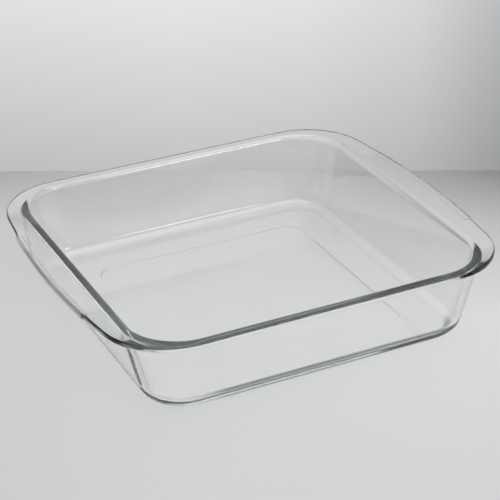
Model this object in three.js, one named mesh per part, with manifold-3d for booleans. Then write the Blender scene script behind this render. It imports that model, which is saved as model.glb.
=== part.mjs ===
// Square baking dish pressed in one piece of clear glass. A flat rim with round edges runs round
// the mouth and widens into a handle on two opposite sides, each with a raised grip along its edge.
// X runs from handle to handle, Y from front to back, Z up. The origin is on the table, at the middle.

import * as THREE from 'three';
import { mergeVertices } from 'three/addons/utils/BufferGeometryUtils.js';
import Module from 'manifold-3d';

const wasm = await Module();
wasm.setup();

// Driving dimensions, in millimetres and degrees
const mouthSide = 208;            // square opening, between the inner edges of the rim
const mouthCornerRadius = 30;     // corner of the opening, seen from above
const dishHeight = 48.5;          // table to the top of the rim
const wallDraft = 13.5;           // lean of the walls from upright
const wallThickness = 4.4;        // square to the wall
const floorThickness = 4.8;       // top of the floor above the table
const floorFillet = 6.5;          // inside, where the walls meet the floor
const baseFillet = 11;            // outside, where the walls turn under
const rimThickness = 4.2;         // rim and handles at the wall, top to underside
const rimEdgeThickness = 2.8;     // at their outer edge: the underside slopes up to it
const rimProjection = 3.2;        // rim beyond the outer wall, at the front and back
const rimEdgeRadius = 0.9;        // rounding of the outer edge, above and below
const mouthEdgeRadius = 3;        // rounding of the inner edge of the rim
const underRimFillet = 2.2;       // where the rim and handles meet the outer wall
const handleProjection = 15.5;    // handles beyond the outer wall, at their middle
const handleBowRadius = 560;      // outer edge of a handle, seen from above
const handleCornerRadius = 40;    // where a handle's edge turns into the rim
const gripLength = 105;           // raised bar along a handle's edge
const gripWidth = 3.4;            // across the bar
const gripDepth = 0.5;            // bar below the underside of the handle's edge
const gripProud = 0.6;            // bar beyond the handle's edge
const gripSetback = 0.3;          // top of the bar below the handle's top
const gripEdgeRadius = 0.3;       // rounding of the bar's edges
const footWidth = 20;             // flat ring that the dish stands on
const panelCornerRadius = 10;     // corner of the raised panel inside that ring
const panelDepth = 0.2;           // panel above the table
const panelBevel = 0.4;           // slope at the panel's edge

// Smoothness: steps along each stretch of the rim and round each fillet
const straightSteps = 4;
const handleSteps = 12;
const cornerSteps = 10;
const filletSteps = 6;
const edgeSteps = 4;

// Sizes that follow from the driving dimensions
const draft = THREE.MathUtils.degToRad(wallDraft);
const lean = Math.tan(draft);
const mouthHalf = mouthSide / 2;
const coreHalf = mouthHalf - mouthCornerRadius;
const undersideHeight = dishHeight - rimThickness;
const edgeUnderside = dishHeight - rimEdgeThickness;
const wallAcross = wallThickness / Math.cos(draft);
const outerWallAt = (height) => wallAcross - (dishHeight - height) * lean;
const rimHalf = mouthHalf + outerWallAt(undersideHeight) + rimProjection;
const handleHalf = mouthHalf + outerWallAt(undersideHeight) + handleProjection;
const edgeRadius = Math.min(rimEdgeRadius, 0.48 * rimEdgeThickness, 0.8 * rimProjection);

// Point where a line that leaves (x, y) in direction (dx, dy), both positive or zero, crosses the
// rim's outer edge: the straight front, the bowed handle, or the corner arc that is tangent to both.
const bowCentre = handleHalf - handleBowRadius;
const cornerY = rimHalf - handleCornerRadius;
const cornerX = Math.sqrt((handleBowRadius - handleCornerRadius) ** 2 - cornerY ** 2) + bowCentre;
const bowEndY = cornerY * handleBowRadius / (handleBowRadius - handleCornerRadius);

function circleExit(x, y, dx, dy, centreX, centreY, radius) {
  const along = (x - centreX) * dx + (y - centreY) * dy;
  const rest = (x - centreX) ** 2 + (y - centreY) ** 2 - radius ** 2;
  return Math.sqrt(along ** 2 - rest) - along;
}

function rimReach(x, y, dx, dy) {
  const toFront = dy > 0 ? (rimHalf - y) / dy : Infinity;
  if (x + toFront * dx <= cornerX) return toFront;
  const toBow = circleExit(x, y, dx, dy, bowCentre, 0, handleBowRadius);
  if (y + toBow * dy <= bowEndY) return toBow;
  return circleExit(x, y, dx, dy, cornerX, cornerY, handleCornerRadius);
}

// Stations run counterclockwise round the mouth. Each has a place on the square that joins the
// corner centres, in units of half that square, and the direction that points out of the dish.
function stationsRound() {
  const stations = [];
  for (let quarter = 0; quarter < 4; quarter++) {
    const start = quarter * Math.PI / 2;
    const out = new THREE.Vector2(Math.cos(start), Math.sin(start)).round();
    const next = new THREE.Vector2(-out.y, out.x);
    const sideSteps = quarter % 2 === 0 ? handleSteps : straightSteps;
    for (let step = 0; step < sideSteps; step++) {
      const along = 2 * step / sideSteps - 1;
      stations.push({ place: out.clone().addScaledVector(next, along), out });
    }
    for (let step = 0; step < cornerSteps; step++) {
      const angle = start + step / cornerSteps * Math.PI / 2;
      stations.push({
        place: out.clone().add(next),
        out: new THREE.Vector2(Math.cos(angle), Math.sin(angle)),
      });
    }
  }
  return stations;
}

// Rounds each inner corner of an open outline of [x, y, radius, steps] and drops its two ends.
function roundCorners(corners) {
  const outline = [];
  for (let i = 1; i < corners.length - 1; i++) {
    const [before, corner, after] = [i - 1, i, i + 1].map((k) => new THREE.Vector2(...corners[k]));
    const [, , radius, steps] = corners[i];
    const back = before.sub(corner).normalize();
    const onward = after.sub(corner).normalize();
    const half = Math.acos(back.dot(onward)) / 2;
    const turn = Math.sign(onward.cross(back)) * (Math.PI - 2 * half);
    const middle = back.clone().add(onward).normalize();
    const centre = corner.clone().addScaledVector(middle, radius / Math.sin(half));
    const start = corner.clone().addScaledVector(back, radius / Math.tan(half));
    for (let step = 0; step <= steps; step++) {
      outline.push(start.clone().rotateAround(centre, turn * step / steps));
    }
  }
  return outline;
}

// Section of the wall as [outward from the mouth edge, height], from the floor inside, over the rim
// and down to the table. Only the rim's reach differs from station to station.
function wallSection(reach) {
  const innerFoot = -(dishHeight - floorThickness) * lean;
  const underRim = outerWallAt(undersideHeight);
  const underside = new THREE.Vector2(reach - underRim, edgeUnderside - undersideHeight);
  const slope = underside.angle();
  const freeLength = underside.length() - edgeRadius * Math.tan(Math.PI / 4 - slope / 2);
  const roomUnder = freeLength * Math.tan(Math.PI / 4 + (draft + slope) / 2);
  const inwards = floorFillet + baseFillet + wallThickness;
  return roundCorners([
    [innerFoot - inwards, floorThickness],
    [innerFoot, floorThickness, floorFillet, filletSteps],
    [0, dishHeight, mouthEdgeRadius, edgeSteps],
    [reach, dishHeight, edgeRadius, edgeSteps],
    [reach, edgeUnderside, edgeRadius, edgeSteps],
    [underRim, undersideHeight, Math.min(underRimFillet, 0.9 * roomUnder), edgeSteps],
    [outerWallAt(0), 0, baseFillet, filletSteps],
    [outerWallAt(0) - inwards, 0],
  ]);
}

// Solid of the dish: the section carried round the mouth, the base panel and the floor
function basinSolid() {
  const stations = stationsRound();
  const rings = stations.map(({ place, out }) => {
    const edge = place.clone().multiplyScalar(coreHalf).addScaledVector(out, mouthCornerRadius);
    const reach = rimReach(Math.abs(edge.x), Math.abs(edge.y), Math.abs(out.x), Math.abs(out.y));
    const column = wallSection(reach).map(({ x, y }) => {
      const point = edge.clone().addScaledVector(out, x);
      return new THREE.Vector3(point.x, point.y, y);
    });
    const flatHalf = mouthHalf + outerWallAt(0) - baseFillet * Math.tan(Math.PI / 4 - draft / 2);
    const panelHalf = flatHalf - footWidth;
    for (const [half, height] of [[panelHalf, 0], [panelHalf - panelBevel, panelDepth]]) {
      const point = place.clone().multiplyScalar(half - panelCornerRadius);
      point.addScaledVector(out, panelCornerRadius);
      column.push(new THREE.Vector3(point.x, point.y, height));
    }
    return column;
  });

  const perColumn = rings[0].length;
  const positions = rings.flat().flatMap((point) => point.toArray());
  const floorMiddle = positions.length / 3;
  positions.push(0, 0, floorThickness, 0, 0, panelDepth);
  const baseMiddle = floorMiddle + 1;
  const triangles = [];
  for (let j = 0; j < stations.length; j++) {
    const here = j * perColumn;
    const there = (j + 1) % stations.length * perColumn;
    for (let i = 0; i < perColumn - 1; i++) {
      triangles.push(here + i, here + i + 1, there + i + 1, here + i, there + i + 1, there + i);
    }
    triangles.push(floorMiddle, here, there);
    triangles.push(baseMiddle, there + perColumn - 1, here + perColumn - 1);
  }
  const geometry = new THREE.BufferGeometry();
  geometry.setAttribute('position', new THREE.Float32BufferAttribute(positions, 3));
  geometry.setIndex(triangles);
  return solidFrom(geometry);
}

// Grip along the edge of a handle: a bar between two arcs about the bow's centre
function gripSolid(turn) {
  const halfAngle = Math.asin(gripLength / 2 / handleBowRadius);
  const outerRadius = handleBowRadius + gripProud;
  const outline = new THREE.Shape();
  outline.absarc(bowCentre, 0, outerRadius, -halfAngle, halfAngle, false);
  outline.absarc(bowCentre, 0, outerRadius - gripWidth, halfAngle, -halfAngle, true);
  const bottom = edgeUnderside - gripDepth;
  const top = dishHeight - gripSetback;
  const geometry = new THREE.ExtrudeGeometry(outline, {
    depth: top - bottom - 2 * gripEdgeRadius,
    curveSegments: handleSteps,
    bevelSize: gripEdgeRadius,
    bevelThickness: gripEdgeRadius,
    bevelOffset: -gripEdgeRadius,
    bevelSegments: 2,
  });
  geometry.translate(0, 0, bottom + gripEdgeRadius);
  geometry.rotateZ(turn);
  return solidFrom(geometry);
}

function solidFrom(geometry) {
  geometry.deleteAttribute('normal');
  geometry.deleteAttribute('uv');
  const merged = mergeVertices(geometry, 1e-4);
  return new wasm.Manifold(new wasm.Mesh({
    numProp: 3,
    vertProperties: new Float32Array(merged.attributes.position.array),
    triVerts: new Uint32Array(merged.index.array),
  }));
}

function geometryFrom(solid) {
  const { vertProperties, triVerts } = solid.getMesh();
  const geometry = new THREE.BufferGeometry();
  geometry.setAttribute('position', new THREE.BufferAttribute(vertProperties, 3));
  geometry.setIndex(new THREE.BufferAttribute(triVerts, 1));
  geometry.computeVertexNormals();
  return geometry;
}

const clearGlass = new THREE.MeshStandardMaterial({
  color: 0xdbe8e2,
  roughness: 0.04,
  metalness: 0,
  transparent: true,
  opacity: 0.35,
});

const glassDish = new THREE.Mesh(
  geometryFrom(basinSolid().add(gripSolid(0)).add(gripSolid(Math.PI))),
  clearGlass,
);
glassDish.name = 'glass_dish';

const bakingDish = new THREE.Group();
bakingDish.add(glassDish);

export default bakingDish;
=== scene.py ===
import bpy
import numpy as np
from mathutils import Matrix, Vector


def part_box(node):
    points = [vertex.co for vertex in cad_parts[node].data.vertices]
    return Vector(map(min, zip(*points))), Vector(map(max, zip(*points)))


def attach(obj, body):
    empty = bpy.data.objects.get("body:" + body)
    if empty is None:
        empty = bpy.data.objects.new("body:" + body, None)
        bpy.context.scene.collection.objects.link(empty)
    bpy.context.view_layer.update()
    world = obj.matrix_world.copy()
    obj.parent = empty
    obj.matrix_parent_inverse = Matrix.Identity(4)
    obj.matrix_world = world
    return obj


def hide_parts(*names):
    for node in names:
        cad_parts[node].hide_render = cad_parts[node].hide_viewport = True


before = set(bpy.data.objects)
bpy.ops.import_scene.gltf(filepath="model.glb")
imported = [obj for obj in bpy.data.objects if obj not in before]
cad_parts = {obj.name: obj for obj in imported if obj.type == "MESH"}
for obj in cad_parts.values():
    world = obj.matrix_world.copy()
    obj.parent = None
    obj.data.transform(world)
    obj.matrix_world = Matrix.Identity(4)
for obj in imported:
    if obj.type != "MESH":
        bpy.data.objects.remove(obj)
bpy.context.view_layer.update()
dishLow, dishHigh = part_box("glass_dish")
scene = bpy.context.scene
mm = 0.001
print("frame loaded, dish box", [round(v / mm, 1) for v in np.subtract(dishHigh, dishLow)], "mm")

# Camera: a long lens a metre away, looking down on the near corner
view = {
    "target": (29.4 * mm, 54.3 * mm, 0.0),  # point on the table under the middle of the picture
    "distance": 1063.7 * mm,
    "pitch": 27.59,                          # degrees below the horizon
    "yaw": 25.46,                            # degrees to the right of +Y
    "roll": 1.30,                            # degrees, the camera leans to its left
    "lens": 122.5,                           # mm
    "sensor": 36,                            # mm across
    "nearest": 10 * mm,                      # nothing closer to the camera shows
}


def viewAxes(spec):
    # right, up and forward of the camera, from its yaw and pitch
    yaw, pitch = np.radians([spec["yaw"], spec["pitch"]])
    right = Vector((np.cos(yaw), -np.sin(yaw), 0))
    forward = Vector((np.sin(yaw) * np.cos(pitch), np.cos(yaw) * np.cos(pitch), -np.sin(pitch)))
    return right, right.cross(forward), forward


def addCamera(spec):
    right, up, forward = viewAxes(spec)
    turn = Matrix.Rotation(np.radians(spec["roll"]), 3, forward)
    right, up = turn @ right, turn @ up
    data = bpy.data.cameras.new("dishCamera")
    data.lens = spec["lens"]
    data.sensor_width = spec["sensor"]
    data.clip_start = spec["nearest"]
    camera = bpy.data.objects.new("dishCamera", data)
    axes = Matrix((right, up, -forward)).transposed()
    eye = Vector(spec["target"]) - spec["distance"] * forward
    camera.matrix_world = Matrix.Translation(eye) @ axes.to_4x4()
    scene.collection.objects.link(camera)
    scene.camera = camera


addCamera(view)
print("camera placed")

# The dish: one pressing of glass
dish = {
    "mouthHalf": 104 * mm,        # middle to the inner edge of the rim
    "mouthCorner": 30 * mm,       # corner radius of the mouth, seen from above
    "draft": 13.5,                # lean of the walls, degrees
    "wall": 4.4 * mm,
    "floor": 4.8 * mm,            # top of the floor above the table
    "floorFillet": 6.5 * mm,      # inside, walls into floor
    "baseFillet": 11 * mm,        # outside, walls into base
    "rimThick": 4.2 * mm,         # rim and handles at the wall
    "edgeThick": 2.8 * mm,        # and at their outer edge
    "rimEdge": 0.9 * mm,          # rounding of the rim's outer edge
    "mouthEdge": 3 * mm,          # rounding of the rim's inner edge
    "underFillet": 2.2 * mm,      # rim and handles into the outer wall
    "bowRadius": 560 * mm,        # outer edge of a handle, seen from above
    "handleCorner": 40 * mm,      # where a handle turns into the rim
    "gripLength": 105 * mm,       # raised bar along a handle's edge
    "gripWidth": 3.4 * mm,
    "gripDepth": 0.5 * mm,        # bar below the underside of the handle's edge
    "gripProud": 0.6 * mm,        # bar beyond the handle's edge
    "gripSetback": 0.3 * mm,      # top of the bar below the rim's top
    "gripLedge": 0.83 * mm,       # width of the bar's top
    "gripEdge": 0.3 * mm,         # rounding of the bar's edges
    "gripSoft": 0.12 * mm,        # half width of the steps round the bar
    "foot": 20 * mm,              # flat ring that the dish stands on
    "panelCorner": 10 * mm,
    "panelDepth": 0.2 * mm,       # raised panel inside the foot
    "panelBevel": 0.4 * mm,
    "flatRing": 0.4 * mm,         # width of the flat rings beside the fillets
    "cornerSteps": 48,            # stations round each corner,
    "handleSteps": 64,            # along each handle,
    "plainSteps": 28,             # along the front and the back,
    "gripSteps": 17,              # and crowded round each end of a grip
    "topCrowd": 3 * mm,           # from the edge in, where the points of the top face crowd
    "underCrowd": 5 * mm,         # and where those of the underside do
    "arcSteps": [14, 14, 16, 16, 12, 20],  # points round each fillet of the section
}
dish["height"] = dishHigh[2]
dish["rimHalf"] = dishHigh[1]
dish["handleHalf"] = dishHigh[0] - dish["gripProud"]
dish["lean"] = np.tan(np.radians(dish["draft"]))
dish["coreHalf"] = dish["mouthHalf"] - dish["mouthCorner"]
dish["bowCentre"] = dish["handleHalf"] - dish["bowRadius"]


def unit(vectors):
    return vectors / np.linalg.norm(vectors, axis=-1, keepdims=True)


def softStep(value, middle, softness):
    # 0 below the middle and 1 above it, with a smooth ramp of twice the softness between
    share = np.clip((value - middle) / (2 * softness) + 0.5, 0, 1)
    return share * share * (3 - 2 * share)


def outerWall(d, height):
    # distance of the outer wall from the mouth edge, outwards, at a height
    return d["wall"] / np.cos(np.radians(d["draft"])) - (d["height"] - height) * d["lean"]


def mouthStations(d):
    # Counterclockwise round the mouth: a place on the square of corner centres, in units of half that
    # square, and the direction out of the dish. Stations crowd where the grips end.
    gripEnd = d["gripLength"] / 2 / d["coreHalf"]
    crowd = np.linspace(-4, 4, d["gripSteps"]) * d["gripSoft"] / d["coreHalf"]
    even = np.linspace(-1, 1, d["handleSteps"])
    handleSide = np.concatenate([even, gripEnd + crowd, -gripEnd + crowd])
    handleSide = np.unique(handleSide.round(5))[:-1]
    plainSide = np.linspace(-1, 1, d["plainSteps"])[:-1]
    places, outs = [], []
    for quarter in range(4):
        start = quarter * np.pi / 2
        out = np.array([np.cos(start), np.sin(start)]).round()
        onward = np.array([-out[1], out[0]])
        side = (handleSide if quarter % 2 == 0 else plainSide)[:, None]
        angles = start + np.linspace(0, np.pi / 2, d["cornerSteps"], endpoint=False)
        places += [out + side * onward, np.tile(out + onward, (len(angles), 1))]
        outs += [np.tile(out, (len(side), 1)), np.stack([np.cos(angles), np.sin(angles)], axis=1)]
    return np.concatenate(places), np.concatenate(outs)


def circleExit(points, outs, centre, radius):
    # how far a line from each point runs in its direction before it leaves a circle
    offset = points - np.array(centre)
    along = (offset * outs).sum(axis=1)
    return np.sqrt(np.maximum(along ** 2 - (offset ** 2).sum(axis=1) + radius ** 2, 0)) - along


def rimReach(d, points, outs):
    # Distance from the mouth edge to the rim's outer edge: the straight front, the bowed handle, or the
    # corner arc that is tangent to both. The four quarters are alike, so it is worked out in one.
    points, outs = np.abs(points), np.abs(outs)
    inner = d["bowRadius"] - d["handleCorner"]
    cornerY = d["rimHalf"] - d["handleCorner"]
    cornerX = np.sqrt(inner ** 2 - cornerY ** 2) + d["bowCentre"]
    toFront = (d["rimHalf"] - points[:, 1]) / np.maximum(outs[:, 1], 1e-6)
    toBow = circleExit(points, outs, (d["bowCentre"], 0), d["bowRadius"])
    toCorner = circleExit(points, outs, (cornerX, cornerY), d["handleCorner"])
    onFront = points[:, 0] + toFront * outs[:, 0] <= cornerX
    onBow = points[:, 1] + toBow * outs[:, 1] <= cornerY * d["bowRadius"] / inner
    return np.where(onFront, toFront, np.where(onBow, toBow, toCorner))


def roundedOutline(corners, radii, arcSteps, lineShares):
    # Outlines through the corners, one for each station, with an arc of the given radius at each inner
    # corner and points at the given shares of each straight between two arcs.
    parts = []
    for k, radius in enumerate(radii, start=1):
        back = unit(corners[k - 1] - corners[k])
        onward = unit(corners[k + 1] - corners[k])
        half = np.arccos((back * onward).sum(axis=1)) / 2
        cross = onward[:, 0] * back[:, 1] - onward[:, 1] * back[:, 0]
        turn = np.sign(cross) * (np.pi - 2 * half)
        start = corners[k] + back * (radius / np.tan(half))[:, None]
        centre = corners[k] + unit(back + onward) * (radius / np.sin(half))[:, None]
        angles = turn[:, None] * np.linspace(0, 1, arcSteps[k - 1])
        spoke = (start - centre)[:, None, :]
        swung = np.stack([spoke[..., 0] * np.cos(angles) - spoke[..., 1] * np.sin(angles),
                          spoke[..., 0] * np.sin(angles) + spoke[..., 1] * np.cos(angles)], axis=-1)
        if parts:
            shares = np.atleast_2d(lineShares[k - 2])[..., None]
            parts.append(parts[-1][:, -1:] * (1 - shares) + start[:, None] * shares)
        parts.append(centre[:, None] + swung)
    return np.concatenate(parts, axis=1)


def gripShare(d, places, outs):
    # 1 at the stations that cross a grip and 0 at the others, with a short ramp at the grip's ends
    alongHandle = np.abs(places[:, 1]) * d["coreHalf"]
    return (np.abs(outs[:, 0]) > 0.999) * (1 - softStep(alongHandle, d["gripLength"] / 2, d["gripSoft"]))


def crowded(d, length, step, last):
    # Shares of a straight of each length, from its start: close together round the step, then evenly
    # to its end
    near = step + d["gripSoft"] * np.array([-8, -5, -3, -2, -1.5, -1, -0.5, 0, 0.5, 1, 1.5, 2, 3, 5])
    near = near[near > 0] / length[:, None] * np.minimum(length / last, 1)[:, None]
    rest = np.linspace(0, 1, 8)[1:-1]
    return np.concatenate([near, near[:, -1:] + (1 - near[:, -1:]) * rest], axis=1)


def wallSections(d, reach, grip):
    # Section of the wall at each station as (outwards from the mouth edge, height): from the floor inside,
    # up the wall, over the rim and down to the table. Only the rim's reach and the grip differ.
    def corner(outwards, height):
        return np.stack(np.broadcast_arrays(outwards, height, reach)[:2], axis=-1)

    same = np.ones_like(reach)
    draft = np.radians(d["draft"])
    innerFoot = -(d["height"] - d["floor"]) * d["lean"]
    root, tip = d["height"] - d["rimThick"], d["height"] - d["edgeThick"]
    underRim = outerWall(d, root)
    inwards = d["floorFillet"] + d["baseFillet"]
    outer = reach + grip * d["gripProud"]
    edge = d["rimEdge"] + grip * (d["gripEdge"] - d["rimEdge"])
    slope = np.arctan2(tip - root, outer - underRim)
    opening = np.tan(np.pi / 4 + (draft + slope) / 2)
    free = np.hypot(tip - root, outer - underRim) - edge * np.tan(np.pi / 4 - slope / 2)
    fillet = np.minimum(d["underFillet"], 0.9 * free * opening)
    corners = [
        corner(innerFoot - inwards, d["floor"]),
        corner(innerFoot, d["floor"]),
        corner(0, d["height"]),
        corner(outer, d["height"]),
        corner(outer, tip),
        corner(underRim, root),
        corner(outerWall(d, 0), 0),
        corner(outerWall(d, 0) - inwards, 0),
    ]
    radii = [d["floorFillet"] * same, d["mouthEdge"] * same, edge, edge, fillet, d["baseFillet"] * same]
    longWall = [0.01, 0.04, 0.12, 0.3, 0.5, 0.7, 0.88, 0.96, 0.99]  # closer together at its ends
    edgeFace = [0.1, 0.3, 0.5, 0.7, 0.9]
    topLength = outer - edge - d["mouthEdge"] / np.tan(np.pi / 4 + draft / 2)
    topFace = crowded(d, topLength, d["gripLedge"] - d["gripEdge"], d["topCrowd"])
    underFace = crowded(d, free - fillet / opening, d["gripWidth"] - d["gripEdge"], d["underCrowd"])
    shares = [longWall, 1 - topFace[:, ::-1], edgeFace, underFace, longWall]
    sections = roundedOutline(corners, radii, d["arcSteps"], shares)
    # a narrow ring keeps the floor and the foot flat as far as their fillets
    flats = [sections[:, end] - [d["flatRing"], 0] for end in ([0], [-1])]
    sections = np.concatenate([flats[0], sections, flats[1]], axis=1)
    return sections, outer[:, None] - sections[..., 0]


def addGrips(d, sections, inFromEdge, grip):
    # Grip bars: the edge's top sinks by the setback as far in as the ledge, and its underside by the
    # depth as far in as the bar is wide. On the outer face, the drop goes evenly from one to the other.
    down = np.clip((d["height"] - sections[..., 1]) / d["edgeThick"], 0, 1)
    top = d["gripSetback"] * (1 - down) * (1 - softStep(inFromEdge, d["gripLedge"], d["gripSoft"]))
    under = d["gripDepth"] * down * (1 - softStep(inFromEdge, d["gripWidth"], d["gripSoft"]))
    sections[..., 1] -= grip[:, None] * (top + under)
    return sections


def baseRings(d, places, outs):
    # Foot ring and the raised panel inside it: rounded squares, from the foot's inner edge up the bevel
    filletFoot = d["baseFillet"] * np.tan(np.pi / 4 - np.radians(d["draft"]) / 2)
    flatHalf = d["mouthHalf"] + outerWall(d, 0) - filletFoot
    share = np.concatenate([[-0.5], np.linspace(0, 1, 9), [1.5]])
    half = flatHalf - d["foot"] - share * d["panelBevel"]
    rise = d["panelDepth"] * softStep(share, 0.5, 0.5)
    plan = places[:, None] * (half - d["panelCorner"])[:, None] + outs[:, None] * d["panelCorner"]
    return np.concatenate([plan, np.broadcast_to(rise[:, None], plan.shape[:2] + (1,))], axis=2)


def dishMesh(d):
    # The wall's section carried round the mouth, then the base panel, with fans over floor and base
    places, outs = mouthStations(d)
    edge = places * d["coreHalf"] + outs * d["mouthCorner"]
    reach = rimReach(d, edge, outs)
    grip = gripShare(d, places, outs)
    sections = addGrips(d, *wallSections(d, reach, grip), grip)
    plan = edge[:, None] + outs[:, None] * sections[..., :1]
    walls = np.concatenate([plan, sections[..., 1:]], axis=2)
    grid = np.concatenate([walls, baseRings(d, places, outs)], axis=1)
    count, perStation = grid.shape[:2]
    here = np.arange(count)[:, None] * perStation
    there = np.roll(here, -1, axis=0)
    step = np.arange(perStation - 1)
    quads = np.stack([here + step, here + step + 1, there + step + 1, there + step], axis=-1).reshape(-1, 4)
    floorMiddle = count * perStation
    last = perStation - 1
    floorFan = np.stack([np.full(count, floorMiddle), here[:, 0], there[:, 0]], axis=1)
    baseFan = np.stack([np.full(count, floorMiddle + 1), there[:, 0] + last, here[:, 0] + last], axis=1)
    middles = [[0, 0, d["floor"]], [0, 0, d["panelDepth"]]]
    points = np.concatenate([grid.reshape(-1, 3), middles])
    mesh = bpy.data.meshes.new("glassDish")
    mesh.from_pydata(points, [], quads.tolist() + floorFan.tolist() + baseFan.tolist())
    mesh.update()
    mesh.shade_smooth()
    return mesh


# Clear glass: faintly green through its thickness, with the soft waviness of a pressing
glass = {
    "ior": 1.5,
    "bodyColour": (0.17, 0.90, 0.63, 1),   # what a long way through the glass leaves
    "bodyDensity": 1.6,                    # per metre
    "wave": 0.05,                          # strength of the waviness
    "waveScale": 28,                       # waves a metre
    "waveDetail": 2,
    "waveHeight": 2 * mm,
    "roughLow": 0.06,                      # where the film on the glass is thin
    "roughHigh": 0.12,                     # and where it is thick
    "filmScale": 90,                       # patches of it a metre
    "filmDetail": 5,
    "filmRange": (0.5, 0.8),               # of the noise, from thin to thick
    "filmHeights": (5.5 * mm, 12 * mm),    # all of the roughness below the first, the rest from the second
    "filmRest": 0.2,                       # share of it that is left there
    # light that the glass lets through to the table, from a face that meets the lamp square to one edge on
    "shadowStops": [
        (0.3, (0.99, 0.992, 0.991, 1)),
        (0.85, (0.98, 0.984, 0.982, 1)),
        (1, (0.85, 0.86, 0.855, 1)),
    ],
}


def newMaterial(name):
    material = bpy.data.materials.new(name)
    material.use_nodes = True
    material.node_tree.nodes.clear()
    return material, material.node_tree.nodes, material.node_tree.links


def mapped(nodes, links, value, fromMin, fromMax):
    # how far a value is from the one number to the other, kept between 0 and 1
    node = nodes.new("ShaderNodeMapRange")
    node.inputs["From Min"].default_value = fromMin
    node.inputs["From Max"].default_value = fromMax
    links.new(value, node.inputs["Value"])
    return node.outputs["Result"]


def calculated(nodes, links, operation, first, second):
    # A math node. Each input is a socket or a number.
    node = nodes.new("ShaderNodeMath")
    node.operation = operation
    for socket, value in zip(node.inputs, (first, second)):
        if isinstance(value, bpy.types.NodeSocket):
            links.new(value, socket)
        else:
            socket.default_value = value
    return node.outputs["Value"]


def rampStops(node, stops):
    # sets a colour ramp's stops from (position, colour) pairs
    for k, (position, colour) in enumerate(stops):
        stop = node.color_ramp.elements[k] if k < 2 else node.color_ramp.elements.new(position)
        stop.position = position
        stop.color = colour


def clearGlass(g):
    material, nodes, links = newMaterial("clearGlass")
    place = nodes.new("ShaderNodeTexCoord").outputs["Object"]
    waves = nodes.new("ShaderNodeTexNoise")
    waves.inputs["Scale"].default_value = g["waveScale"]
    waves.inputs["Detail"].default_value = g["waveDetail"]
    links.new(place, waves.inputs["Vector"])
    bump = nodes.new("ShaderNodeBump")
    bump.inputs["Strength"].default_value = g["wave"]
    bump.inputs["Distance"].default_value = g["waveHeight"]
    links.new(waves.outputs["Fac"], bump.inputs["Height"])
    film = nodes.new("ShaderNodeTexNoise")
    film.inputs["Scale"].default_value = g["filmScale"]
    film.inputs["Detail"].default_value = g["filmDetail"]
    links.new(place, film.inputs["Vector"])
    rough = nodes.new("ShaderNodeMapRange")
    rough.inputs["From Min"].default_value = g["filmRange"][0]
    rough.inputs["From Max"].default_value = g["filmRange"][1]
    rough.inputs["To Min"].default_value = g["roughLow"]
    rough.inputs["To Max"].default_value = g["roughHigh"]
    links.new(film.outputs["Fac"], rough.inputs["Value"])
    shader = nodes.new("ShaderNodeBsdfPrincipled")
    shader.inputs["Base Color"].default_value = (1, 1, 1, 1)
    shader.inputs["Transmission Weight"].default_value = 1
    shader.inputs["IOR"].default_value = g["ior"]
    height = nodes.new("ShaderNodeSeparateXYZ")
    links.new(place, height.inputs["Vector"])
    low, high = g["filmHeights"]
    downward = mapped(nodes, links, height.outputs["Z"], high, low)
    share = calculated(nodes, links, "MAXIMUM", downward, g["filmRest"])
    filmed = calculated(nodes, links, "MULTIPLY", rough.outputs["Result"], share)
    links.new(filmed, shader.inputs["Roughness"])
    links.new(bump.outputs["Normal"], shader.inputs["Normal"])
    passes = nodes.new("ShaderNodeBsdfTransparent")
    facing = nodes.new("ShaderNodeLayerWeight")
    steepness = nodes.new("ShaderNodeValToRGB")
    rampStops(steepness, g["shadowStops"])
    links.new(facing.outputs["Facing"], steepness.inputs["Fac"])
    links.new(steepness.outputs["Color"], passes.inputs["Color"])
    ray = nodes.new("ShaderNodeLightPath")
    mix = nodes.new("ShaderNodeMixShader")
    links.new(ray.outputs["Is Shadow Ray"], mix.inputs["Fac"])
    links.new(shader.outputs["BSDF"], mix.inputs[1])
    links.new(passes.outputs["BSDF"], mix.inputs[2])
    body = nodes.new("ShaderNodeVolumeAbsorption")
    body.inputs["Color"].default_value = g["bodyColour"]
    body.inputs["Density"].default_value = g["bodyDensity"]
    output = nodes.new("ShaderNodeOutputMaterial")
    links.new(mix.outputs["Shader"], output.inputs["Surface"])
    links.new(body.outputs["Volume"], output.inputs["Volume"])
    return material


def addDish(d, g):
    piece = bpy.data.objects.new("glassDish", dishMesh(d))
    piece.data.materials.append(clearGlass(g))
    scene.collection.objects.link(piece)
    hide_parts("glass_dish")
    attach(piece, "root")
    print("dish made,", len(piece.data.vertices), "points,", len(piece.data.polygons), "faces")


addDish(dish, glass)

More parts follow.
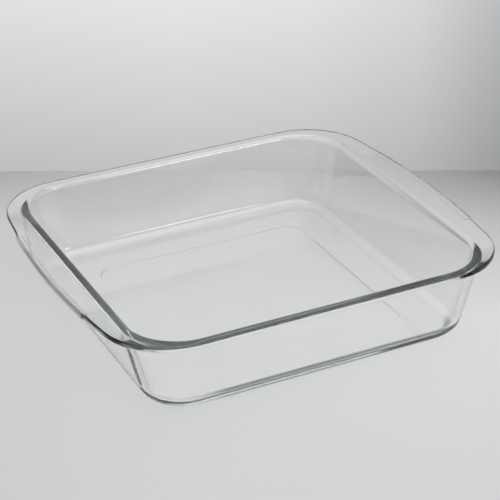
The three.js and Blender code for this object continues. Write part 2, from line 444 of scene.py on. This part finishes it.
# Stage: a pale table that ends at a pale backdrop, both with painted light falloff. Rays that come out of
# the glass after reflections inside it see both darker, a painted shade which gives the rim its dark
# strips.
stage = {
    "tableSize": 12.0,
    "tableDrop": 0.2 * mm,        # below the dish's foot
    "tableDepth": 400 * mm,       # the painted light falloff below runs from the backdrop's foot to this distance
    "tableLeft": [(0, 0.54), (0.2, 0.74), (0.5, 0.75), (1, 0.71)],  # as (share of the way, tone): painted shade, darker towards the backdrop's foot, most on the right
    "tableMiddle": [(0, 0.7), (0.2, 0.71), (0.5, 0.73), (1, 0.72)],
    "tableRight": [(0, 0.28), (0.2, 0.55), (0.5, 0.76), (1, 0.67)],
    "tableSpread": 170 * mm,      # from the middle to where a side's tones are full
    "farTone": 0.62,              # the table's look past the reach of the lamp and behind the backdrop
    "farReach": (450 * mm, 900 * mm),  # it begins and is full at these distances from the dish
    "farBehind": 60 * mm,         # and it is full at this distance behind the backdrop
    "backdropAngle": -28.27,      # degrees from +X to the backdrop's foot, seen from above
    "backdropDistance": 179 * mm,  # from the middle of the dish
    "backdropHeight": 330 * mm,
    "backdropHalf": 300 * mm,
    "backdropTones": [(0, 0.54), (0.367, 0.78), (0.75, 1.0)],  # painted light falloff, from the table up: darker at the foot
    "backdropSides": [(0, 0.95), (0.36, 1.0), (0.6, 0.97), (0.8, 0.87)],  # times these painted tones, from left to right,
    "backdropEnd": (0.55, 0.57, 0.58, 1),  # and times this painted shade at the right end
    "backdropSpread": 180 * mm,   # from the middle to either end of them
    # painted shade and light for rays that come out of the glass after reflections inside it
    "deepShare": 0.1,             # see this share of the brightness: on the backdrop those that rise less
    "deepRises": (0.45, 0.6),     # than the first of these, fading out to the second,
    "manyTurns": 6.5,             # and all those with more reflections than this
    "steepTurns": 3.5,            # those that rise more, after more reflections than this,
    "steepTone": (2.7, 2.3, 2.45, 1),  # see the backdrop's tones times this, a painted light from above
    "earlyTurn": 23,              # those to the left of this, in degrees to the right of +Y,
    "earlyRise": 0.41,            # that rise less than this count one reflection more
    # shade under the dish's lower edge
    "edgeCore": 74 * mm,          # half of the square that the dish's outline is drawn round
    "edgeWidth": 40 * mm,         # the shades run out from that square to this distance
    "edgeShades": [(0.37, 1.0), (0.4, 0.35), (0.54, 0.35), (0.57, 1.0)],
    "edgeSeen": 4.2 * mm,         # they lie this much further in where they are seen past the glass,
    "edgeFront": 10 * mm,         # come in over this length at the front
    "edgeFade": 20 * mm,          # and fade out over this one at the left corner
    # part of the table where rays count one reflection more, so its painted shade comes sooner: under the
    # near left corner
    "edgeOut": 14 * mm,           # from that square to the edge of the flat foot
    "nearCorner": 60 * mm,        # x + y is below minus this
    "nearFoot": 82 * mm,          # y is above minus this
}


def planeMesh(name, corners):
    mesh = bpy.data.meshes.new(name)
    mesh.from_pydata(corners, [], [(0, 1, 2, 3)])
    mesh.update()
    return mesh


def grey(value):
    return (value, value, value, 1)


def toneRamp(nodes, links, tones, value):
    # colour ramp of (position, grey tone) pairs, read at a value from 0 to 1
    ramp = nodes.new("ShaderNodeValToRGB")
    rampStops(ramp, [(position, grey(tone)) for position, tone in tones])
    links.new(value, ramp.inputs["Fac"])
    return ramp.outputs["Color"]


def backdropFrame(s):
    # middle of the backdrop's foot and the direction along it
    angle = np.radians(s["backdropAngle"])
    along = Vector((np.cos(angle), np.sin(angle), 0))
    away = Vector((-along.y, along.x, 0))
    return s["backdropDistance"] * away, along


def alongBackdrop(nodes, links, s):
    # Object coordinates turned so that X runs along the backdrop's foot and Y away from the dish
    mapping = nodes.new("ShaderNodeMapping")
    mapping.inputs["Rotation"].default_value[2] = -np.radians(s["backdropAngle"])
    links.new(nodes.new("ShaderNodeTexCoord").outputs["Object"], mapping.inputs["Vector"])
    split = nodes.new("ShaderNodeSeparateXYZ")
    links.new(mapping.outputs["Vector"], split.inputs["Vector"])
    return split.outputs


def multiplied(nodes, links, first, second):
    # product of two colours
    product = nodes.new("ShaderNodeMixRGB")
    product.blend_type = "MULTIPLY"
    product.inputs["Fac"].default_value = 1
    links.new(first, product.inputs["Color1"])
    links.new(second, product.inputs["Color2"])
    return product.outputs["Color"]


def dimmed(nodes, links, s, colour, early, strength):
    # The colour as it is for most rays, and a share of it, a painted shade, for those that come through the
    # glass
    # after reflections inside it: from the first one where "early" is 1, and from the second where it is 0.
    # Rays that the strength leaves out see it brighter after several reflections, a painted light from
    # above.
    ray = nodes.new("ShaderNodeLightPath")
    reflected = ray.outputs["Glossy Depth"]
    extra = calculated(nodes, links, "MINIMUM", reflected, early)
    counted = calculated(nodes, links, "ADD", reflected, extra)
    deep = calculated(nodes, links, "GREATER_THAN", counted, 1.5)
    through = calculated(nodes, links, "MULTIPLY", deep, ray.outputs["Is Transmission Ray"])
    fade = nodes.new("ShaderNodeMixRGB")
    fade.inputs["Color1"].default_value = grey(1)
    fade.inputs["Color2"].default_value = grey(s["deepShare"])
    many = calculated(nodes, links, "GREATER_THAN", reflected, s["manyTurns"])
    weight = calculated(nodes, links, "MAXIMUM", strength, many)
    links.new(calculated(nodes, links, "MULTIPLY", through, weight), fade.inputs["Fac"])
    lift = nodes.new("ShaderNodeMixRGB")
    lift.inputs["Color1"].default_value = grey(1)
    lift.inputs["Color2"].default_value = s["steepTone"]
    unfaded = calculated(nodes, links, "SUBTRACT", 1, weight)
    several = calculated(nodes, links, "GREATER_THAN", reflected, s["steepTurns"])
    steep = calculated(nodes, links, "MULTIPLY", several, unfaded)
    links.new(calculated(nodes, links, "MULTIPLY", through, steep), lift.inputs["Fac"])
    lit = multiplied(nodes, links, colour, lift.outputs["Color"])
    return multiplied(nodes, links, lit, fade.outputs["Color"])


def outOfSquare(nodes, links, half):
    # Distance out of a square round the origin: the length of what is left of |x| and |y| less half its
    # side, where that is above zero
    outwards = nodes.new("ShaderNodeTexCoord").outputs["Object"]
    for operation, value in (("ABSOLUTE", 0), ("SUBTRACT", half), ("MAXIMUM", 0), ("LENGTH", 0)):
        node = nodes.new("ShaderNodeVectorMath")
        node.operation = operation
        node.inputs[1].default_value = (value, value, 0)
        links.new(outwards, node.inputs[0])
        outwards = node.outputs["Value" if operation == "LENGTH" else "Vector"]
    return outwards


def edgeShade(nodes, links, s, place, outwards):
    # Shade on the table in the narrow gap under the dish's round lower edge, along the front
    ray = nodes.new("ShaderNodeLightPath")
    further = calculated(nodes, links, "MULTIPLY", ray.outputs["Is Camera Ray"], s["edgeSeen"])
    shifted = calculated(nodes, links, "ADD", outwards, further)
    shades = toneRamp(nodes, links, s["edgeShades"], mapped(nodes, links, shifted, 0, s["edgeWidth"]))
    fade = nodes.new("ShaderNodeMixRGB")
    fade.inputs["Color1"].default_value = grey(1)
    front = mapped(nodes, links, place["Y"], -s["edgeCore"], -s["edgeCore"] - s["edgeFront"])
    right = mapped(nodes, links, place["X"], -s["edgeCore"], -s["edgeCore"] + s["edgeFade"])
    links.new(calculated(nodes, links, "MULTIPLY", front, right), fade.inputs["Fac"])
    links.new(shades, fade.inputs["Color2"])
    return fade.outputs["Color"]


def paintedTableFalloff(nodes, links, s, place):
    # painted light falloff: tones from the backdrop's foot towards the camera, darker near the foot,
    # blended from left to middle to right
    foot = s["backdropDistance"]
    nearer = mapped(nodes, links, place["Y"], foot, foot - s["tableDepth"])
    left, middle, right = (toneRamp(nodes, links, s[side], nearer)
                           for side in ("tableLeft", "tableMiddle", "tableRight"))
    spread = s["tableSpread"]
    colour = left
    for tones, sideways in ((middle, -spread), (right, 0)):
        blend = nodes.new("ShaderNodeMixRGB")
        links.new(mapped(nodes, links, place["X"], sideways, sideways + spread), blend.inputs["Fac"])
        links.new(colour, blend.inputs["Color1"])
        links.new(tones, blend.inputs["Color2"])
        colour = blend.outputs["Color"]
    return colour


def underCorner(nodes, links, s, place, outwards):
    # 1 on the table under the foot's near left corner, where the painted shade seen through the glass comes
    # sooner, and 0 elsewhere
    cornerwards = calculated(nodes, links, "ADD", place["X"], place["Y"])
    near = calculated(nodes, links, "LESS_THAN", cornerwards, -s["nearCorner"])
    inside = calculated(nodes, links, "GREATER_THAN", place["Y"], -s["nearFoot"])
    under = calculated(nodes, links, "LESS_THAN", outwards, s["edgeOut"])
    for limit in (near, inside):
        under = calculated(nodes, links, "MULTIPLY", under, limit)
    return under


def farShare(nodes, links, s, place):
    # 0 near the dish, 1 far from it and behind the backdrop
    length = nodes.new("ShaderNodeVectorMath")
    length.operation = "LENGTH"
    links.new(nodes.new("ShaderNodeTexCoord").outputs["Object"], length.inputs[0])
    away = mapped(nodes, links, length.outputs["Value"], *s["farReach"])
    foot = s["backdropDistance"]
    behind = mapped(nodes, links, place["Y"], foot, foot + s["farBehind"])
    return calculated(nodes, links, "MAXIMUM", away, behind)


def paleTable(s):
    material, nodes, links = newMaterial("paleTable")
    place = alongBackdrop(nodes, links, s)
    shader = nodes.new("ShaderNodeBsdfDiffuse")
    plan = nodes.new("ShaderNodeSeparateXYZ")
    links.new(nodes.new("ShaderNodeTexCoord").outputs["Object"], plan.inputs["Vector"])
    outwards = outOfSquare(nodes, links, s["edgeCore"])
    shade = edgeShade(nodes, links, s, plan.outputs, outwards)
    colour = multiplied(nodes, links, paintedTableFalloff(nodes, links, s, place), shade)
    early = underCorner(nodes, links, s, plan.outputs, outwards)
    links.new(dimmed(nodes, links, s, colour, early, 1), shader.inputs["Color"])
    far = farShare(nodes, links, s, place)
    glow = nodes.new("ShaderNodeEmission")
    glow.inputs["Color"].default_value = grey(s["farTone"])
    mix = nodes.new("ShaderNodeMixShader")
    seen = nodes.new("ShaderNodeLightPath").outputs["Is Camera Ray"]
    links.new(calculated(nodes, links, "MULTIPLY", far, seen), mix.inputs["Fac"])
    links.new(shader.outputs["BSDF"], mix.inputs[1])
    links.new(glow.outputs["Emission"], mix.inputs[2])
    output = nodes.new("ShaderNodeOutputMaterial")
    links.new(mix.outputs["Shader"], output.inputs["Surface"])
    return material


def paleBackdrop(s):
    material, nodes, links = newMaterial("paleBackdrop")
    place = alongBackdrop(nodes, links, s)
    # The backdrop glows with painted light falloff: darker at its foot and at its right end
    height = mapped(nodes, links, place["Z"], 0, s["backdropHeight"])
    upward = toneRamp(nodes, links, s["backdropTones"], height)
    sideways = nodes.new("ShaderNodeValToRGB")
    sides = [(position, grey(tone)) for position, tone in s["backdropSides"]]
    rampStops(sideways, sides + [(1, s["backdropEnd"])])
    spread = s["backdropSpread"]
    links.new(mapped(nodes, links, place["X"], -spread, spread), sideways.inputs["Fac"])
    glow = nodes.new("ShaderNodeEmission")
    colour = multiplied(nodes, links, upward, sideways.outputs["Color"])
    facing = nodes.new("ShaderNodeNewGeometry")
    leftward = nodes.new("ShaderNodeVectorMath")
    leftward.operation = "DOT_PRODUCT"
    turn = np.radians(s["earlyTurn"])
    leftward.inputs[1].default_value = (np.cos(turn), -np.sin(turn), 0)
    links.new(facing.outputs["Incoming"], leftward.inputs[0])
    downward = nodes.new("ShaderNodeSeparateXYZ")
    links.new(facing.outputs["Incoming"], downward.inputs["Vector"])
    shallow = calculated(nodes, links, "GREATER_THAN", downward.outputs["Z"], -s["earlyRise"])
    left = calculated(nodes, links, "GREATER_THAN", leftward.outputs["Value"], 0)
    early = calculated(nodes, links, "MULTIPLY", left, shallow)
    strength = mapped(nodes, links, downward.outputs["Z"], -s["deepRises"][1], -s["deepRises"][0])
    links.new(dimmed(nodes, links, s, colour, early, strength), glow.inputs["Color"])
    seeThrough = nodes.new("ShaderNodeBsdfTransparent")
    mix = nodes.new("ShaderNodeMixShader")
    links.new(facing.outputs["Backfacing"], mix.inputs["Fac"])
    links.new(glow.outputs["Emission"], mix.inputs[1])
    links.new(seeThrough.outputs["BSDF"], mix.inputs[2])
    output = nodes.new("ShaderNodeOutputMaterial")
    links.new(mix.outputs["Shader"], output.inputs["Surface"])
    return material


def addStage(s):
    half = s["tableSize"] / 2
    table = bpy.data.objects.new("table", planeMesh("table", [(-half, -half, 0), (half, -half, 0),
                                                               (half, half, 0), (-half, half, 0)]))
    table.data.materials.append(paleTable(s))
    table.location.z = -s["tableDrop"]
    foot, along = backdropFrame(s)
    span = s["backdropHalf"] * along
    top = Vector((0, 0, s["backdropHeight"]))
    corners = [foot - span, foot + span, foot + span + top, foot - span + top]
    backdrop = bpy.data.objects.new("backdrop", planeMesh("backdrop", [c[:] for c in corners]))
    backdrop.data.materials.append(paleBackdrop(s))
    backdrop.visible_shadow = False
    backdrop.visible_diffuse = False
    for piece in (table, backdrop):
        scene.collection.objects.link(piece)
    print("stage set")


addStage(stage)

# Light: a large softbox overhead, and a small one in front that only shows in the glass, in a dim room.
# Places and sizes are in metres, powers in watts.
lamps = {
    "overhead": {
        "place": (0.2, -0.25, 1.1),
        "aim": (0.2, -0.25, 0),
        "size": (1.3, 1.3),
        "power": 17,
        "roles": ("Lights", "Shows"),
    },
    "front": {
        "place": (0.75, -1.3, 0.4),
        "aim": (0, 0, 0.04),
        "size": (0.6, 0.5),
        "power": 8,
        "roles": ("Shows",),
    },
}
room = {
    "seen": 0.62,         # tone past the dish
    "mirrored": 0.06,     # tone that the glass mirrors
    "level": 0.2,         # tone through the glass, for rays that rise little
    "overhead": 0.7,      # and for steep ones
    "rises": (0.3, 0.8),  # between which the one turns into the other
    "turns": 6.5,         # rays with more reflections inside the glass see what it mirrors
}


def addLamp(name, spec):
    # A lamp has one or both of two roles: to light the table, through the glass as well, and to show
    # in the glass
    aim = Vector(spec["aim"]) - Vector(spec["place"])
    for role in spec["roles"]:
        data = bpy.data.lights.new(name + role, "AREA")
        data.shape = "RECTANGLE"
        data.size, data.size_y = spec["size"]
        data.energy = spec["power"]
        data.cycles.use_multiple_importance_sampling = role == "Shows"
        lamp = bpy.data.objects.new(name + role, data)
        lamp.location = spec["place"]
        lamp.rotation_euler = aim.to_track_quat("-Z", "Y").to_euler()
        lamp.visible_camera = False
        lamp.visible_transmission = False
        lamp.visible_diffuse = role == "Lights"
        lamp.visible_glossy = role == "Shows"
        scene.collection.objects.link(lamp)


def addRoom(tones):
    # The room has one tone past the dish, one mirrored in the glass, and through it others, from level
    # to overhead
    world = bpy.data.worlds.new("room")
    scene.world = world
    world.use_nodes = True
    world.cycles_visibility.diffuse = False
    nodes, links = world.node_tree.nodes, world.node_tree.links
    blend = nodes.new("ShaderNodeMixRGB")
    blend.inputs["Color1"].default_value = grey(tones["mirrored"])
    split = nodes.new("ShaderNodeSeparateXYZ")
    links.new(nodes.new("ShaderNodeTexCoord").outputs["Generated"], split.inputs["Vector"])
    rising = nodes.new("ShaderNodeMixRGB")
    rising.inputs["Color1"].default_value = grey(tones["level"])
    rising.inputs["Color2"].default_value = grey(tones["overhead"])
    links.new(mapped(nodes, links, split.outputs["Z"], *tones["rises"]), rising.inputs["Fac"])
    links.new(rising.outputs["Color"], blend.inputs["Color2"])
    ray = nodes.new("ShaderNodeLightPath")
    few = calculated(nodes, links, "LESS_THAN", ray.outputs["Glossy Depth"], tones["turns"])
    through = calculated(nodes, links, "MULTIPLY", ray.outputs["Is Transmission Ray"], few)
    links.new(through, blend.inputs["Fac"])
    past = nodes.new("ShaderNodeMixRGB")
    past.inputs["Color2"].default_value = grey(tones["seen"])
    links.new(ray.outputs["Is Camera Ray"], past.inputs["Fac"])
    links.new(blend.outputs["Color"], past.inputs["Color1"])
    links.new(past.outputs["Color"], nodes["Background"].inputs["Color"])


for name, spec in lamps.items():
    addLamp(name, spec)
addRoom(room)
scene.view_settings.view_transform = "Standard"
scene.cycles.max_bounces = 32
scene.cycles.transmission_bounces = 32
scene.cycles.glossy_bounces = 16
scene.cycles.caustics_refractive = False  # lamps already shine through the glass to the table
scene.cycles.caustics_reflective = False
print("light set")
